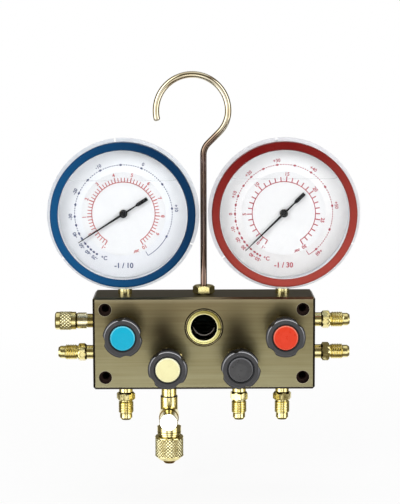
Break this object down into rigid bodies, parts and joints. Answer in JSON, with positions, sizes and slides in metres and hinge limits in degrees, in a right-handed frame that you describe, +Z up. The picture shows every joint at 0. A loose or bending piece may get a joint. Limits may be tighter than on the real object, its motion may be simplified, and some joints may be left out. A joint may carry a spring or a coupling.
{
  "type": "refrigerant manifold gauge",
  "caption": "Refrigerant manifold with knob-operated valves, sight glass, flare ports, two round pressure gauges and a hanging hook.",
  "frame": {"origin": "centre of the block, at the centre of its four mounting holes", "axes": "+Z up, towards the gauges and the hook; +Y to the back; +X to the right for someone facing the dials"},
  "size_m": [0.2258, 0.0717, 0.2907],
  "materials": {
    "block": "brushed, bronze anodised",
    "brass": "turned",
    "hook_steel": "yellow zinc",
    "knob": "moulded",
    "insert_blue": "moulded",
    "insert_yellow": "moulded",
    "insert_black": "moulded",
    "insert_red": "moulded",
    "clear_glass": "polished",
    "lens": "polished",
    "seal": "matt",
    "gasket": "matt",
    "case": "translucent",
    "bezel_blue": "moulded",
    "bezel_red": "moulded",
    "dial": "printed white",
    "pointer": "matt black",
    "spring": "drawn bronze"
  },
  "bodies": {
    "manifold": {"manifold_block": "block", "hook_nut": "brass", "sight_glass_ring": "brass", "low_side_port": "brass", "charging_port": "brass", "high_side_port": "brass", "parking_posts": "brass", "access_fitting": "brass", "access_core": "brass", "vacuum_tee": "brass", "valve_bonnets": "brass", "movement_frames": "brass", "sight_glass_lens": "clear_glass", "sight_glass_seal": "seal", "tee_seal": "seal", "gland_seals": "seal", "filling_plugs": "seal", "gauge_gaskets": "gasket", "hairsprings": "spring", "low_case": "case", "low_bezel": "bezel_blue", "low_lens": "lens", "low_dial": "dial", "low_socket": "brass", "low_bourdon_tube": "spring", "high_case": "case", "high_bezel": "bezel_red", "high_lens": "lens", "high_dial": "dial", "high_socket": "brass", "high_bourdon_tube": "spring"},
    "blue_piston": {"blue_piston": "brass"},
    "blue_valve_knob": {"blue_spindle": "brass", "blue_knob": "knob", "blue_insert": "insert_blue"},
    "yellow_piston": {"yellow_piston": "brass"},
    "yellow_valve_knob": {"yellow_spindle": "brass", "yellow_knob": "knob", "yellow_insert": "insert_yellow"},
    "black_piston": {"black_piston": "brass"},
    "black_valve_knob": {"black_spindle": "brass", "black_knob": "knob", "black_insert": "insert_black"},
    "red_piston": {"red_piston": "brass"},
    "red_valve_knob": {"red_spindle": "brass", "red_knob": "knob", "red_insert": "insert_red"},
    "low_pointer": {"low_pinion": "brass", "low_pointer": "pointer"},
    "low_sector": {"low_sector": "brass"},
    "low_link": {"low_link": "brass"},
    "high_pointer": {"high_pinion": "brass", "high_pointer": "pointer"},
    "high_sector": {"high_sector": "brass"},
    "high_link": {"high_link": "brass"},
    "hook": {"hook": "hook_steel"},
    "access_cap": {"access_cap": "brass"},
    "tee_front_cap": {"tee_front_cap": "brass"},
    "tee_bottom_cap": {"tee_bottom_cap": "brass"}
  },
  "joints": [
    {"name": "blue_valve_lift", "type": "slide", "parent": "manifold", "child": "blue_piston", "axis": [0, -1, 0], "range_m": [0, 0.003]},
    {"name": "blue_valve_turn", "type": "hinge", "parent": "blue_piston", "child": "blue_valve_knob", "pos_m": [-0.058, -0.04, 0.0092], "axis": [0, -1, 0], "range_deg": [0, 720]},
    {"name": "yellow_valve_lift", "type": "slide", "parent": "manifold", "child": "yellow_piston", "axis": [0, -1, 0], "range_m": [0, 0.003]},
    {"name": "yellow_valve_turn", "type": "hinge", "parent": "yellow_piston", "child": "yellow_valve_knob", "pos_m": [-0.026, -0.04, -0.0138], "axis": [0, -1, 0], "range_deg": [0, 720]},
    {"name": "black_valve_lift", "type": "slide", "parent": "manifold", "child": "black_piston", "axis": [0, -1, 0], "range_m": [0, 0.003]},
    {"name": "black_valve_turn", "type": "hinge", "parent": "black_piston", "child": "black_valve_knob", "pos_m": [0.026, -0.04, -0.0138], "axis": [0, -1, 0], "range_deg": [0, 720]},
    {"name": "red_valve_lift", "type": "slide", "parent": "manifold", "child": "red_piston", "axis": [0, -1, 0], "range_m": [0, 0.003]},
    {"name": "red_valve_turn", "type": "hinge", "parent": "red_piston", "child": "red_valve_knob", "pos_m": [0.058, -0.04, 0.0092], "axis": [0, -1, 0], "range_deg": [0, 720]},
    {"name": "low_pointer_turn", "type": "hinge", "parent": "manifold", "child": "low_pointer", "pos_m": [-0.058, -0.018, 0.0949], "axis": [0, 1, 0], "range_deg": [-26.4, 270.6], "stiffness_Nm_per_rad": 0.002},
    {"name": "low_sector_turn", "type": "hinge", "parent": "manifold", "child": "low_sector", "pos_m": [-0.05198, -0.0048, 0.07836], "axis": [0, 1, 0], "range_deg": [-29, 3]},
    {"name": "low_link_turn", "type": "hinge", "parent": "low_sector", "child": "low_link", "pos_m": [-0.03803, -0.0034, 0.07714], "axis": [0, 1, 0], "range_deg": [-3, 29]},
    {"name": "high_pointer_turn", "type": "hinge", "parent": "manifold", "child": "high_pointer", "pos_m": [0.058, -0.018, 0.0949], "axis": [0, 1, 0], "range_deg": [-14.7, 282.3], "stiffness_Nm_per_rad": 0.002},
    {"name": "high_sector_turn", "type": "hinge", "parent": "manifold", "child": "high_sector", "pos_m": [0.06402, -0.0048, 0.07836], "axis": [0, 1, 0], "range_deg": [-29, 3]},
    {"name": "high_link_turn", "type": "hinge", "parent": "high_sector", "child": "high_link", "pos_m": [0.07797, -0.0034, 0.07714], "axis": [0, 1, 0], "range_deg": [-3, 29]},
    {"name": "hook_swivel", "type": "hinge", "parent": "manifold", "child": "hook", "pos_m": [0, 0, 0.034], "axis": [0, 0, 1], "continuous": true},
    {"name": "access_cap_off", "type": "slide", "parent": "manifold", "child": "access_cap", "axis": [-1, 0, 0], "range_m": [0, 0.016]},
    {"name": "tee_front_cap_off", "type": "slide", "parent": "manifold", "child": "tee_front_cap", "axis": [0, -1, 0], "range_m": [0, 0.014]},
    {"name": "tee_bottom_cap_off", "type": "slide", "parent": "manifold", "child": "tee_bottom_cap", "axis": [0, 0, -1], "range_m": [0, 0.018]}
  ],
  "couplings": [
    {"joint": "blue_valve_turn", "follows": "blue_valve_lift", "rad_per_m": 4188.8},
    {"joint": "yellow_valve_turn", "follows": "yellow_valve_lift", "rad_per_m": 4188.8},
    {"joint": "black_valve_turn", "follows": "black_valve_lift", "rad_per_m": 4188.8},
    {"joint": "red_valve_turn", "follows": "red_valve_lift", "rad_per_m": 4188.8},
    {"joint": "low_sector_turn", "follows": "low_pointer_turn", "ratio": -0.1},
    {"joint": "low_link_turn", "follows": "low_pointer_turn", "ratio": 0.1},
    {"joint": "high_sector_turn", "follows": "high_pointer_turn", "ratio": -0.1},
    {"joint": "high_link_turn", "follows": "high_pointer_turn", "ratio": 0.1}
  ]
}
